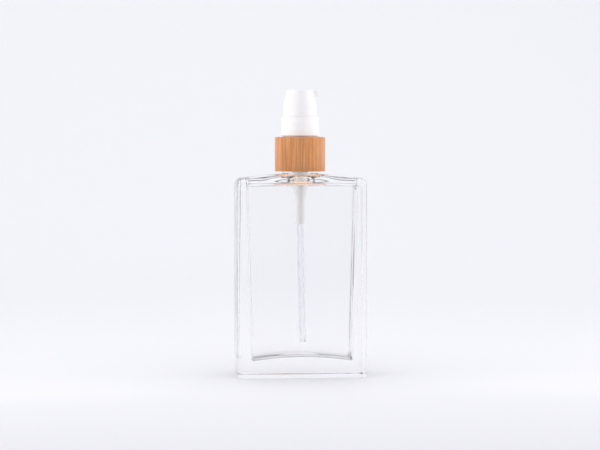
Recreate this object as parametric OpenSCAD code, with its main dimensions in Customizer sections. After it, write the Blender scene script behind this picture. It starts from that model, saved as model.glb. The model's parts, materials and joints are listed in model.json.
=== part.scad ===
// Clear rectangular foundation bottle with a bamboo-sleeved screw closure and a treatment pump.
// Millimetres. +Z is up, the spout points along +X, and the origin is the middle of the base.

/* [Bottle] */
// Width of the glass body
bottle_w = 61.4; // [58:0.2:68]
// Depth of the glass body, front to back
bottle_d = 33; // [31:0.5:40]
// Height of the shoulder where the neck starts
shoulder_z = 96.5; // [90:0.5:110]
// How far the shoulder drops from the neck to each side
side_fall = 2.3; // [1.6:0.1:3]
// How far the shoulder drops from the neck to the front and back
face_fall = 1; // [0.6:0.1:1.6]
// Radius along the upright corners
corner_r = 2.8; // [2:0.1:4]
// Radius round the shoulder's edge
shoulder_r = 2.6; // [1.2:0.1:2.6]
// Radius round the heel
heel_r = 0.6; // [0.6:0.1:1.6]
// Depth of the shallow hollow under the base
base_hollow = 0.6; // [0.3:0.1:1]

/* [Glass walls] */
// Side wall just under the shoulder
side_wall_top = 4.1; // [3:0.1:5]
// Side wall at the floor, where the glass is heavier
side_wall_foot = 6.6; // [5:0.1:8]
// Front and back wall just under the shoulder
face_wall_top = 3.9; // [3:0.1:4.5]
// Front and back wall at the floor
face_wall_foot = 4.5; // [4:0.1:5.5]
// Glass above the cavity, on the neck's axis
ceiling_t = 3.9; // [3.2:0.1:4.5]
// Glass under the cavity at its corners
floor_t = 7.6; // [6:0.1:9]
// How far the floor rises in its middle
push_up = 2.4; // [1:0.1:3]

/* [Neck finish] */
// Height of the neck above the shoulder
neck_h = 12.6; // [12.4:0.1:14]
// Radius of the neck between its threads
neck_r = 8.85; // [8.7:0.05:8.9]
// Radius over the thread on the glass
thread_r = 9.85; // [9.7:0.05:9.9]
// Radius of the bore through the neck
bore_r = 6.8; // [6.4:0.1:7]
// Thread pitch, eight turns to the inch
pitch = 3.175; // [3:0.025:3.3]
// Turns of thread on the glass
glass_turns = 1.5; // [1.25:0.25:1.5]

/* [Closure] */
// Outer radius of the bamboo collar
collar_r = 12; // [11.8:0.1:12.6]
// Thickness of the bamboo round the closure
collar_wall = 1; // [0.7:0.1:1.2]
// Gap between the collar and the shoulder
collar_gap = 0.9; // [0.6:0.1:1.5]
// Thickness of the gasket on the lip
gasket_t = 1; // [0.8:0.1:1.2]

/* [Pump] */
// Travel of the actuator
stroke = 5; // [4:0.1:5]
// Radius of the piston chamber
chamber_r = 3; // [2.9:0.05:3.1]
// Gap between a sliding or turning part and its bore
run_gap = 0.03; // [0.02:0.01:0.05]
// Outer radius of the dip tube
tube_r = 1.65; // [1.5:0.05:1.7]
// Sideways lean of the dip tube at its lower end
tube_lean = 1.2; // [0:0.1:2]
// Height of the dip tube's lower end above the base
tube_foot_z = 15.8; // [14:0.1:20]

/* [Actuator] */
// Radius of the actuator's skirt
skirt_r = 7.85; // [7.7:0.05:7.85]
// Radius of the actuator's top
head_r = 5.95; // [5.7:0.05:6.1]
// Reach of the spout from the pump's axis
spout_reach = 8.85; // [8.4:0.05:9]
// Width of the spout
spout_w = 4.2; // [3.8:0.1:4.8]

/* [Hidden] */
$fn = 96;
fine_fn = 256;
// How far a joined shape runs into its neighbour, and a cut runs past a face
bite = 0.3;
past = 1;
touch = 0.1;

// Heights on the bottle
lip_z = shoulder_z + neck_h;
collar_z = shoulder_z + collar_gap;
flange_z = lip_z + gasket_t;
thread_drop = 7.9;
thread_z = lip_z - thread_drop;
thread_segments = 36;
ridge_root = 0.85;
ridge_crest = 0.35;
closure_root = 0.65;
closure_crest = 0.25;
closure_turns = 1.25;
thread_gap = 0.12;
thread_play = 0.25;

// Glass
cavity_top_r = 2;
cavity_foot_r = 1.6;
cavity_corner_r = 1.5;
ceiling_fall = 0.8;
root_flare = 0.6;
neck_root_sink = 0.45;
bore_root_sink = 0.4;
neck_depth = 2;
lip_r = 0.6;
base_hollow_r = 12;

// Heights in the pump, measured from the underside of its flange
flange_t = 1.2;
flange_r = 8.6;
tower_r = 6.6;
tower_top = 7.9;
ring_top = tower_top + 0.9;
ring_r = 5.6;
nose_r = chamber_r + 0.25;
nose_foot = -2.7;
housing_r = 3.8;
tail_r = 2.63;
tail_foot = -37.9;
taper_foot = -25;
taper_top = -20.2;
cage_top = -24.5;
cage_r = 1.75;
ball_r = 1.5;
ball_rest = 0.01;
cage_mouth_r = 1.3;
seat_r = 0.9;
seat_foot = -27.75;
socket_top = -29.9;
tube_wall = 0.55;
vent_r = 0.35;
vent_z = nose_foot - 1;
plate_t = 1.3;
plate_play = 0.3;
collar_top_t = 1.2;
collar_edge_r = 0.5;
closure_inset = 0.4;
gasket_inset = 0.15;
gasket_play = 0.1;

// Moving parts of the pump
bottom_clear = 0.5;
stem_r = 1.8;
stem_bore_r = 1;
stem_foot = -4.5;
shoulder_top = -2.8;
stem_top = 21.1;
rod_r = 1.2;
valve_top = -9.1;
seat_top = -9.9;
spring_top = -10.5;
guide_length = 5.2;
guide_foot = spring_top - guide_length;
ledge_z = guide_foot - stroke - bottom_clear;
guide_play = 0.5;
seat_play = 0.7;
rib_t = 0.7;
valve_sink = 0.1;
shank_rise = 3.5;
stem_flange = 0.6;
seal_wall = 0.8;
seal_t = 1.2;
ring_play = 0.07;
ring_wall = 0.8;
ring_hub = 0.9;
ring_web = 1.4;
piston_foot = valve_top + 0.02;
piston_top = -5.4;
piston_play = 0.05;
piston_hub = 0.7;
piston_lip = 0.45;
piston_groove = 1.3;
piston_groove_top = 1.5;
wire_r = 0.25;
coil_r = 2.35;
coils = 8;
wire_sides = 8;
coil_segments = 24;
dead_pitch = 2.08 * wire_r;

// Shroud
shroud_play = 0.15;
shroud_foot = flange_t + plate_t + shroud_play;
shroud_neck_r = 8.3;
bead_z = 4.1;
bead_r = 9.32;
step_r = 9.25;
step_z = 4.8;
step_top = 7.9;
step_edge = 0.05;
step_rise = 0.2;
ring_foot_r = 9.08;
ring_head_r = 8.9;
rim_z = 13.2;
rim_r = 0.4;
well_play = 0.3;
well_r = skirt_r + well_play;
skirt_foot = 11.9;
skirt_clear = 0.4;
well_floor = skirt_foot - stroke - skirt_clear;

// Actuator
head_z = 26;
skirt_top = 17.4;
shoulder_bend_r = 16;
cone_tilt = 13.5;
skirt_wall = 0.85;
ceiling_z = 21.4;
boss_r = 2.9;
boss_foot = skirt_foot + 2.2;
channel_z = 23.8;
channel_r = 0.75;
outlet_bell = 0.35;
outlet_depth = 0.6;
socket_play = 0.2;
hollow_shoulder = 1;
rib_inset = 1.5;
rib_rise = 1.6;
spout_z = 22.3;
spout_root = 3;
spout_corner = 0.6;
spout_chamfer = 0.4;
slope_x = 1.7;
slope_drop = 0.5;
edge_round = 0.5;
bend_steps = 6;
edge_steps = 5;

function mirrored(points) =
    concat(points, [for (i = [len(points) - 1:-1:0]) [-points[i][0], points[i][1]]]);

function arc_points(centre, r, from, to, steps) =
    [for (i = [0:steps]) let (a = from + (to - from) * i / steps) centre + r * [cos(a), sin(a)]];

// Upright outline of the outside: slightly arched top, straight sides and rounded corners.
module arched_outline(w, crown, fall, top_r, foot_r) {
    dome_r = (w * w / 4 + fall * fall) / (2 * fall);
    dome_z = crown - dome_r;
    corner_x = w / 2 - top_r;
    corner_z = dome_z + sqrt(pow(dome_r - top_r, 2) - pow(corner_x, 2));
    blend_x = corner_x * dome_r / (dome_r - top_r);
    translate([-w / 2, foot_r]) square([w, corner_z - foot_r]);
    translate([-w / 2 + foot_r, 0]) square([w - 2 * foot_r, corner_z]);
    for (s = [-1, 1]) {
        translate([s * corner_x, corner_z]) circle(top_r);
        translate([s * (w / 2 - foot_r), foot_r]) circle(foot_r);
    }
    intersection() {
        translate([0, dome_z]) circle(dome_r);
        translate([-blend_x, corner_z]) square([2 * blend_x, crown]);
    }
}

// Upright outline of the cavity: slightly arched top, leaning sides and rounded corners.
module vessel_outline(top_half, foot_half, foot_z, crown_z, fall, top_r, foot_r) {
    dome_r = (top_half * top_half + fall * fall) / (2 * fall);
    dome_z = crown_z - dome_r;
    top_x = top_half - top_r;
    top_z = dome_z + sqrt(pow(dome_r - top_r, 2) - pow(top_x, 2));
    foot_x = foot_half - foot_r;
    foot_c = foot_z + foot_r;
    reach = [top_x - foot_x, top_z - foot_c];
    side = atan2(reach[1], reach[0]) - 90 + asin((foot_r - top_r) / norm(reach));
    facing = [cos(side), sin(side)];
    blend = [0, dome_z] + [top_x, top_z - dome_z] * dome_r / (dome_r - top_r);
    polygon(mirrored([
        [foot_x, foot_z],
        [foot_x, foot_c] + foot_r * facing,
        [top_x, top_z] + top_r * facing,
        blend
    ]));
    for (s = [-1, 1]) {
        translate([s * top_x, top_z]) circle(top_r);
        translate([s * foot_x, foot_c]) circle(foot_r);
    }
    intersection() {
        translate([0, dome_z]) circle(dome_r, $fn = fine_fn);
        translate([-blend[0], blend[1] - past]) square([2 * blend[0], crown_z - blend[1] + 2 * past]);
    }
}

module rounded_plan(w, d, r) {
    square([w - 2 * r, d], center = true);
    square([w, d - 2 * r], center = true);
    for (x = [-1, 1], y = [-1, 1]) {
        translate([x * (w / 2 - r), y * (d / 2 - r)]) circle(r);
    }
}

// Ring that eases a cylinder of radius r into the face at base_z.
module flare(r, base_z, spread) {
    rotate_extrude() difference() {
        translate([r - bite, base_z - bite]) square([spread + bite, spread + bite]);
        translate([r + spread, base_z + spread]) circle(spread);
    }
}

module glass_outside() {
    intersection() {
        rotate([90, 0, 0]) linear_extrude(bottle_d + 2 * past, center = true)
            arched_outline(bottle_w, shoulder_z, side_fall, shoulder_r, heel_r);
        rotate([90, 0, 90]) linear_extrude(bottle_w + 2 * past, center = true)
            arched_outline(bottle_d, shoulder_z, face_fall, shoulder_r, heel_r);
        linear_extrude(shoulder_z + past) rounded_plan(bottle_w, bottle_d, corner_r);
    }
}

module glass_cavity() {
    half_w = bottle_w / 2 - side_wall_top;
    half_d = bottle_d / 2 - face_wall_top;
    foot_w = bottle_w / 2 - side_wall_foot;
    foot_d = bottle_d / 2 - face_wall_foot;
    ceiling = shoulder_z - ceiling_t;
    span = norm([foot_w, foot_d]);
    floor_r = (span * span + push_up * push_up) / (2 * push_up);
    difference() {
        intersection() {
            rotate([90, 0, 0]) linear_extrude(bottle_d, center = true)
                vessel_outline(half_w, foot_w, floor_t, ceiling, ceiling_fall, cavity_top_r, cavity_foot_r);
            rotate([90, 0, 90]) linear_extrude(bottle_w, center = true)
                vessel_outline(half_d, foot_d, floor_t, ceiling, face_fall, cavity_foot_r, cavity_foot_r);
            linear_extrude(shoulder_z) rounded_plan(2 * half_w, 2 * half_d, cavity_corner_r);
        }
        translate([0, 0, floor_t + push_up - floor_r]) sphere(floor_r, $fn = fine_fn);
    }
}

// Helical ridge between radius near and radius tip, tapering away at both ends.
module thread_ridge(near, tip, start_z, turns, root, crest) {
    rings = round(turns * thread_segments);
    fade = thread_segments / 8;
    points = [for (i = [0:rings])
        let (
            a = i * 360 / thread_segments,
            z = start_z + pitch * i / thread_segments,
            rise = max(0.1, min(1, i / fade, (rings - i) / fade)),
            r = near + (tip - near) * rise,
            half = root + (crest - root) * rise
        )
        each [for (p = [[near, -root], [r, -half], [r, half], [near, root]])
            [p[0] * cos(a), p[0] * sin(a), z + p[1]]]
    ];
    sides = [for (i = [0:rings - 1], k = [0:3])
        let (a = 4 * i + k, b = 4 * i + (k + 1) % 4)
        each [[a, b, b + 4], [a, b + 4, a + 4]]
    ];
    foot = [[0, 2, 1], [0, 3, 2]];
    head = [for (f = [[0, 1, 2], [0, 2, 3]]) [for (v = f) v + 4 * rings]];
    faces = concat(sides, foot, head);
    polyhedron(points, near < tip ? faces : [for (f = faces) [f[0], f[2], f[1]]]);
}

module neck_solid() {
    rotate_extrude() {
        translate([0, shoulder_z - neck_depth]) square([neck_r - lip_r, neck_h + neck_depth]);
        translate([0, shoulder_z - neck_depth]) square([neck_r, neck_h + neck_depth - lip_r]);
        translate([neck_r - lip_r, lip_z - lip_r]) circle(lip_r);
    }
}

module glass_bottle() {
    ceiling = shoulder_z - ceiling_t;
    bore_z = ceiling - neck_depth;
    hollow_r = (base_hollow_r * base_hollow_r + base_hollow * base_hollow) / (2 * base_hollow);
    color([0.93, 0.96, 0.98, 0.35]) difference() {
        union() {
            glass_outside();
            neck_solid();
            flare(neck_r, shoulder_z - neck_root_sink, root_flare);
            thread_ridge(neck_r - bite, thread_r, thread_z, glass_turns, ridge_root, ridge_crest);
        }
        glass_cavity();
        translate([0, 0, bore_z]) cylinder(r = bore_r, h = lip_z - bore_z + past);
        flare(bore_r, ceiling - bore_root_sink, root_flare);
        translate([0, 0, base_hollow - hollow_r]) sphere(hollow_r, $fn = fine_fn);
    }
}

module in_pump() {
    translate([0, 0, flange_z]) children();
}

module tube(outer, inner, from, to) {
    translate([0, 0, from]) difference() {
        cylinder(r = outer, h = to - from);
        translate([0, 0, -past]) cylinder(r = inner, h = to - from + 2 * past);
    }
}

module neck_gasket() {
    color("whitesmoke") tube(neck_r - gasket_inset, housing_r + gasket_play, lip_z, flange_z);
}

module bamboo_collar() {
    top = flange_t + plate_t + collar_top_t;
    foot = collar_z - flange_z;
    bore = collar_r - collar_wall;
    eye = shroud_neck_r + bite;
    edge = collar_edge_r;
    color([0.8, 0.58, 0.36]) in_pump() rotate_extrude() difference() {
        union() {
            translate([eye, foot]) square([collar_r - edge - eye, top - foot]);
            translate([eye, foot]) square([collar_r - eye, top - foot - edge]);
            translate([collar_r - edge, top - edge]) circle(edge);
        }
        translate([0, foot - past]) square([bore, top - collar_top_t - foot + past]);
    }
}

module screw_closure() {
    outer = collar_r - collar_wall;
    inner = thread_r + thread_play;
    tip = neck_r + thread_play;
    foot = collar_z + closure_inset;
    top = flange_z + flange_t + plate_t;
    drop = (ridge_root + ridge_crest) / 2 + (closure_root + closure_crest) / 2 + thread_gap;
    color([0.94, 0.94, 0.94]) {
        difference() {
            translate([0, 0, foot]) cylinder(r = outer, h = top - foot);
            translate([0, 0, foot - past]) cylinder(r = inner, h = top - plate_t - foot + past);
            translate([0, 0, foot]) cylinder(r = tower_r + plate_play, h = top - foot + past);
        }
        thread_ridge(inner + bite, tip, thread_z - drop, closure_turns, closure_root, closure_crest);
    }
}

module pump_shroud() {
    rim_corner = ring_head_r - rim_r;
    bead = (step_z - bead_z) / 2;
    color([0.96, 0.96, 0.96]) in_pump() rotate_extrude() difference() {
        union() {
            translate([0, shroud_foot]) square([shroud_neck_r, step_z]);
            translate([0, bead_z]) square([bead_r - rim_r, step_z - bead_z]);
            translate([bead_r - bead, bead_z + bead]) circle(bead);
            translate([0, step_z - bite]) square([step_r, step_top - step_z + bite]);
            polygon([
                [0, step_top - bite],
                [step_r - step_edge, step_top - bite],
                [ring_foot_r, step_top + step_rise],
                [ring_head_r, rim_z - rim_r],
                [0, rim_z - rim_r]
            ]);
            translate([0, rim_z - 2 * rim_r]) square([rim_corner, 2 * rim_r]);
            translate([rim_corner, rim_z - rim_r]) circle(rim_r);
        }
        translate([0, shroud_foot - past]) square([tower_r, well_floor]);
        translate([0, well_floor]) square([well_r, rim_z]);
    }
}

module retaining_ring() {
    bore = stem_r + ring_play;
    color("whitesmoke") in_pump() difference() {
        union() {
            translate([0, 0, nose_foot]) cylinder(r = nose_r, h = tower_top - nose_foot);
            translate([0, 0, flange_t]) cylinder(r = ring_r, h = tower_top - flange_t);
            translate([0, 0, tower_top]) cylinder(r = tower_r, h = ring_top - tower_top);
        }
        translate([0, 0, nose_foot - past]) cylinder(r = bore, h = ring_top - nose_foot + 2 * past);
        translate([0, 0, nose_foot - past]) cylinder(r = stem_r + seal_wall, h = seal_t + past);
        tube(ring_r - ring_wall, bore + ring_hub, flange_t + ring_web, ring_top + past);
    }
}

module stem_seal() {
    color("dimgray") in_pump() tube(stem_r + seal_wall, stem_r + run_gap, nose_foot, nose_foot + seal_t);
}

module pump_housing() {
    color("white") in_pump() {
        difference() {
            rotate_extrude() difference() {
                union() {
                    translate([0, taper_top]) square([housing_r, flange_t - taper_top]);
                    square([flange_r, flange_t]);
                    square([tower_r, tower_top]);
                    translate([0, tail_foot]) square([tail_r, taper_foot - tail_foot]);
                    polygon([
                        [0, taper_foot],
                        [tail_r, taper_foot],
                        [housing_r, taper_top],
                        [0, taper_top]
                    ]);
                }
                translate([0, tail_foot - past]) square([tube_r, socket_top - tail_foot + past]);
                translate([0, socket_top - past]) square([seat_r, seat_foot - socket_top + past]);
                polygon([
                    [0, seat_foot - touch],
                    [seat_r, seat_foot - touch],
                    [seat_r, seat_foot],
                    [cage_r, seat_foot + cage_r - seat_r],
                    [cage_r, cage_top],
                    [0, cage_top]
                ]);
                translate([0, cage_top - touch]) square([cage_mouth_r, ledge_z - cage_top + 2 * touch]);
                translate([0, ledge_z]) square([chamber_r, flange_t - ledge_z]);
                translate([0, nose_foot]) square([nose_r, flange_t - nose_foot]);
                translate([0, flange_t]) square([ring_r, tower_top]);
            }
            translate([0, 0, vent_z]) rotate([0, 90, 0]) cylinder(r = vent_r, h = housing_r + past);
        }
    }
}

// Straight tube that leans a little, wedged in the housing's socket.
module dip_tube() {
    top_z = flange_z + socket_top - 2 * touch;
    pivot_z = flange_z + (socket_top + tail_foot) / 2;
    drop = pivot_z - tube_foot_z;
    tilt = atan(tube_lean / drop);
    below = drop / cos(tilt);
    color([0.93, 0.94, 0.95, 0.7]) translate([0, 0, pivot_z]) rotate([0, -tilt, 0])
        tube(tube_r, tube_r - tube_wall, -below, top_z - pivot_z);
}

module pump_stem() {
    color("whitesmoke") in_pump() difference() {
        union() {
            translate([0, 0, stem_foot]) cylinder(r = stem_r, h = stem_top - stem_foot);
            translate([0, 0, stem_foot]) cylinder(r = stem_r + stem_flange, h = shoulder_top - stem_foot);
        }
        translate([0, 0, stem_foot - past]) cylinder(r = stem_bore_r, h = stem_top - stem_foot + 2 * past);
    }
}

// Fluted valve rod: its cross-shaped shank leaves four passages up into the stem.
module piston_rod() {
    shank_top = stem_foot + shank_rise;
    from = valve_top - valve_sink;
    guide_r = coil_r - wire_r - guide_play;
    rib = [2 * rod_r + past, rib_t, shank_top - from + 2 * past];
    color("whitesmoke") in_pump() {
        intersection() {
            union() {
                translate([0, 0, from]) cylinder(r = rod_r, h = stem_foot - valve_top);
                translate([0, 0, from]) cylinder(r = stem_bore_r, h = shank_top - valve_top);
            }
            for (a = [0, 90]) {
                rotate([0, 0, a]) translate([-rib[0] / 2, -rib[1] / 2, from - past]) cube(rib);
            }
        }
        translate([0, 0, seat_top]) cylinder(r = chamber_r - seat_play, h = valve_top - seat_top);
        translate([0, 0, spring_top]) cylinder(r = chamber_r - bite, h = seat_top - spring_top);
        translate([0, 0, guide_foot]) cylinder(r = guide_r, h = spring_top - guide_foot);
    }
}

module piston() {
    outer = chamber_r - run_gap;
    inner = rod_r + piston_play;
    hub = rod_r + piston_hub;
    groove_w = outer - piston_lip - hub;
    color("ivory") in_pump() rotate_extrude() difference() {
        translate([inner, piston_foot]) square([outer - inner, piston_top - piston_foot]);
        translate([hub, piston_foot - past]) square([groove_w, piston_groove + past]);
        translate([hub, piston_top - piston_groove_top]) square([groove_w, piston_groove_top + past]);
    }
}

// One steel wire: flat dead turns at both ends and open turns between.
module return_spring() {
    sides = wire_sides;
    rings = coils * coil_segments;
    foot = ledge_z + wire_r;
    head = spring_top - wire_r;
    open_turns = coils - 2;
    lift = (head - foot - 2 * dead_pitch) / open_turns;
    points = [for (i = [0:rings])
        let (
            turn = i / coil_segments,
            dead = min(turn, 1) + max(turn - coils + 1, 0),
            z = foot + dead * dead_pitch + (turn - dead) * lift,
            a = 360 * turn
        )
        each [for (k = [0:sides - 1])
            let (b = 360 * k / sides, r = coil_r + wire_r * cos(b))
            [r * cos(a), r * sin(a), z + wire_r * sin(b)]]
    ];
    sides_faces = [for (i = [0:rings - 1], k = [0:sides - 1])
        let (a = sides * i + k, b = sides * i + (k + 1) % sides)
        each [[a, b, b + sides], [a, b + sides, a + sides]]
    ];
    foot_cap = [for (k = [1:sides - 2]) [0, k + 1, k]];
    head_cap = [for (k = [1:sides - 2]) [sides * rings, sides * rings + k, sides * rings + k + 1]];
    color("silver") in_pump() polyhedron(points, concat(sides_faces, foot_cap, head_cap));
}

module check_ball() {
    rest = seat_foot + ball_r * sin(45) - seat_r + ball_r * cos(45);
    color("silver") in_pump() translate([0, 0, rest + ball_rest]) sphere(ball_r);
}

module actuator_outline() {
    bend = arc_points([skirt_r - shoulder_bend_r, skirt_top], shoulder_bend_r, 0, cone_tilt, bend_steps);
    edge = arc_points([head_r - edge_round, head_z - edge_round], edge_round, cone_tilt, 90, edge_steps);
    polygon(concat([[0, skirt_foot], [skirt_r, skirt_foot]], bend, edge, [[0, head_z]]));
}

module actuator_hollow() {
    inner = skirt_r - skirt_wall;
    centre = [skirt_r - shoulder_bend_r, skirt_top];
    bend = arc_points(centre, shoulder_bend_r - skirt_wall, 0, cone_tilt, bend_steps);
    foot = skirt_foot - past;
    rotate_extrude() {
        polygon(concat([[boss_r, foot], [inner, foot]], bend,
            [[inner - hollow_shoulder, ceiling_z], [boss_r, ceiling_z]]));
        translate([0, foot]) square([boss_r + bite, boss_foot - foot]);
    }
}

module spout() {
    top_z = head_z - slope_drop;
    tip = spout_reach;
    cut = spout_chamfer;
    intersection() {
        rotate([90, 0, 0]) linear_extrude(spout_w + 2 * past, center = true)
            polygon([
                [spout_root, spout_z],
                [tip - cut, spout_z],
                [tip, spout_z + cut],
                [tip, top_z - edge_round],
                [tip - edge_round, top_z],
                [slope_x, head_z]
            ]);
        rotate([90, 0, 90]) linear_extrude(tip + past) {
            translate([0, (spout_z + head_z) / 2]) rounded_plan(spout_w, head_z - spout_z, spout_corner);
            translate([-spout_w / 2, spout_z + past]) square([spout_w, head_z - spout_z - past]);
        }
    }
}

module actuator() {
    socket_r = stem_r + run_gap;
    rib = [2 * (skirt_r - rib_inset), rib_t, ceiling_z - boss_foot - past];
    foot = boss_foot - past;
    color([0.97, 0.97, 0.97]) in_pump() difference() {
        union() {
            difference() {
                rotate_extrude() actuator_outline();
                actuator_hollow();
            }
            spout();
            for (a = [0, 90]) {
                rotate([0, 0, a]) translate([-rib[0] / 2, -rib[1] / 2, boss_foot + rib_rise]) cube(rib);
            }
        }
        translate([0, 0, foot]) cylinder(r = socket_r, h = stem_top + socket_play - foot);
        translate([0, 0, stem_top]) cylinder(r = channel_r, h = channel_z - stem_top);
        translate([0, 0, channel_z]) sphere(channel_r);
        translate([0, 0, channel_z]) rotate([0, 90, 0]) cylinder(r = channel_r, h = spout_reach + past);
        translate([spout_reach - outlet_depth, 0, channel_z]) rotate([0, 90, 0])
            cylinder(r = channel_r + outlet_bell, h = outlet_depth + past);
        rotate([90, 0, 0]) linear_extrude(2 * skirt_r, center = true)
            polygon([
                [slope_x, head_z],
                [spout_reach, head_z - slope_drop],
                [spout_reach, head_z + past],
                [slope_x, head_z + past]
            ]);
    }
}

glass_bottle();
neck_gasket();
bamboo_collar();
screw_closure();
pump_shroud();
retaining_ring();
stem_seal();
actuator();
pump_stem();
piston_rod();
piston();
return_spring();
pump_housing();
check_ball();
dip_tube();
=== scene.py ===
import json
import math

import bmesh
import bpy
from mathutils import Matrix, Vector, noise

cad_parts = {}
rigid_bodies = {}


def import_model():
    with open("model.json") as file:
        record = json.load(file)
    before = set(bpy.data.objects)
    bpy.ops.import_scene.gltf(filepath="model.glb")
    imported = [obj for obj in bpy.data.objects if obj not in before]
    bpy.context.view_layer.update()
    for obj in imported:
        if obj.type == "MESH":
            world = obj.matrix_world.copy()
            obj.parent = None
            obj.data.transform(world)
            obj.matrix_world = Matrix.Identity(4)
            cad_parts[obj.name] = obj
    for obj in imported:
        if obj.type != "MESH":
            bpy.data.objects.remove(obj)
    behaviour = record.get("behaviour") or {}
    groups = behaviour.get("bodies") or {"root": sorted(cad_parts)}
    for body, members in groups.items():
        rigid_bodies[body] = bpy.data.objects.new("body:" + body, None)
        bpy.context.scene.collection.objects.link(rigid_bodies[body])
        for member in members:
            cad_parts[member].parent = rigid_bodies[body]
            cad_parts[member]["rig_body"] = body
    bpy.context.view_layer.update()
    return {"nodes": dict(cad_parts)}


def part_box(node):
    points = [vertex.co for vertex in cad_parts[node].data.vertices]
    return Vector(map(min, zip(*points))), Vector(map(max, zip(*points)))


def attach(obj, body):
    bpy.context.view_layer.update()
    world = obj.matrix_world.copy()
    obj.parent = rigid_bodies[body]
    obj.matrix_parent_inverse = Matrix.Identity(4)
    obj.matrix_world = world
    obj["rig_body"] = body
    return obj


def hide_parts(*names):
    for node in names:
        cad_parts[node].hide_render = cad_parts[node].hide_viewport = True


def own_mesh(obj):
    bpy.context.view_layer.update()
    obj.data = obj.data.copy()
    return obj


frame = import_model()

mm = 0.001
quarterTurn = math.pi / 2
fullTurn = 2 * math.pi
nodes = frame["nodes"]


def linear(hexCode, alpha=1.0):
    channels = [int(hexCode[i:i + 2], 16) / 255 for i in (1, 3, 5)]
    light = [c / 12.92 if c <= 0.04045 else ((c + 0.055) / 1.055) ** 2.4 for c in channels]
    return (*light, alpha)


def addNode(tree, kind, settings=None, links=None):
    made = tree.nodes.new(kind)
    for key, value in (settings or {}).items():
        if key in made.inputs.keys() or isinstance(key, int):
            made.inputs[key].default_value = value
        else:
            setattr(made, key, value)
    for key, source in (links or {}).items():
        tree.links.new(source, made.inputs[key])
    return made


def newMaterial(name):
    made = bpy.data.materials.new(name)
    made.use_nodes = True
    made.node_tree.nodes.clear()
    return made, made.node_tree


def finishMaterial(made, shader):
    tree = made.node_tree
    output = addNode(tree, "ShaderNodeOutputMaterial")
    tree.links.new(shader, output.inputs["Surface"])
    return made


def smoothstep(low, high, value):
    t = min(1.0, max(0.0, (value - low) / (high - low)))
    return t * t * (3 - 2 * t)


def blendValue(a, b, t):
    return a + (b - a) * t


def softMin(a, b, k):
    h = max(0.0, min(1.0, 0.5 + 0.5 * (b - a) / k))
    return blendValue(b, a, h) - k * h * (1 - h)


def softMax(a, b, k):
    return -softMin(-a, -b, k)


def meshObject(name, points, faces):
    mesh = bpy.data.meshes.new(name)
    mesh.from_pydata([tuple(c * mm for c in p) for p in points], [], faces)
    work = bmesh.new()
    work.from_mesh(mesh)
    bmesh.ops.recalc_face_normals(work, faces=work.faces)
    work.to_mesh(mesh)
    work.free()
    mesh.polygons.foreach_set("use_smooth", [True] * len(mesh.polygons))
    made = bpy.data.objects.new(name, mesh)
    bpy.context.scene.collection.objects.link(made)
    return made


# Joins rings of equal length. A ring of one point is a pole, and closed joins the last to the first.
def loft(name, rings, closed=False):
    points, starts = [], []
    for ring in rings:
        starts.append(len(points))
        points.extend(ring)
    faces = []
    pairs = list(zip(range(len(rings)), range(1, len(rings))))
    if closed:
        pairs.append((len(rings) - 1, 0))
    for a, b in pairs:
        count = max(len(rings[a]), len(rings[b]))
        for i in range(count):
            j = (i + 1) % count
            if len(rings[a]) == 1:
                faces.append((starts[a], starts[b] + j, starts[b] + i))
            elif len(rings[b]) == 1:
                faces.append((starts[a] + i, starts[a] + j, starts[b]))
            else:
                faces.append((starts[a] + i, starts[a] + j, starts[b] + j, starts[b] + i))
    return meshObject(name, points, faces)


# Profile corners (r, z, rounding) become a smooth outline with arcs at the corners.
def roundedProfile(corners, steps=6):
    outline = []
    count = len(corners)
    for i, (r, z, rounding) in enumerate(corners):
        here = Vector((r, z))
        if rounding <= 0:
            outline.append((r, z))
            continue
        before = Vector(corners[i - 1][:2]) - here
        after = Vector(corners[(i + 1) % count][:2]) - here
        angle = before.angle(after)
        reach = min(rounding / math.tan(angle / 2), before.length * 0.49, after.length * 0.49)
        radius = reach * math.tan(angle / 2)
        start = here + before.normalized() * reach
        end = here + after.normalized() * reach
        inward = (before.normalized() + after.normalized()).normalized()
        middle = here + inward * (radius / math.sin(angle / 2))
        a = math.atan2(start.y - middle.y, start.x - middle.x)
        sweep = math.atan2(end.y - middle.y, end.x - middle.x) - a
        sweep = (sweep + math.pi) % fullTurn - math.pi
        for k in range(steps + 1):
            turn = a + sweep * k / steps
            outline.append((middle.x + radius * math.cos(turn), middle.y + radius * math.sin(turn)))
    return outline


def lathe(name, outline, columns=160):
    rings = []
    for r, z in outline:
        if r < 1e-6:
            rings.append([(0, 0, z)])
        else:
            turns = [fullTurn * i / columns for i in range(columns)]
            rings.append([(r * math.cos(t), r * math.sin(t), z) for t in turns])
    return loft(name, rings, closed=len(rings[0]) > 1 and len(rings[-1]) > 1)


def applyModifiers(piece):
    depsgraph = bpy.context.evaluated_depsgraph_get()
    mesh = bpy.data.meshes.new_from_object(piece.evaluated_get(depsgraph))
    piece.modifiers.clear()
    piece.data = mesh


def place(piece, node, material):
    piece.data.materials.clear()
    piece.data.materials.append(material)
    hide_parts(node)
    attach(piece, bodyOf[node])


bodyOf = {name: node["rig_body"] for name, node in nodes.items()}
print("frame loaded:", len(nodes), "nodes")


glass = {
    "ior": 1.517,  # soda-lime flint
    "tint": "#FEFEFE",
    "rippleSize": 9.0,  # mm, long soft waves that a mould leaves
    "rippleDepth": 0.004,  # mm
    "rippleStrength": 0.5,
    "shade": (0.995, 0.995, 1.0, 1.0),  # what is left of the light that passes through to cast a shadow
    "wallWave": 0.22,  # mm, how far the blown inside wall wanders on the two ends
    "faceWave": 0.04,  # mm, the same on the front and back
}


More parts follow.
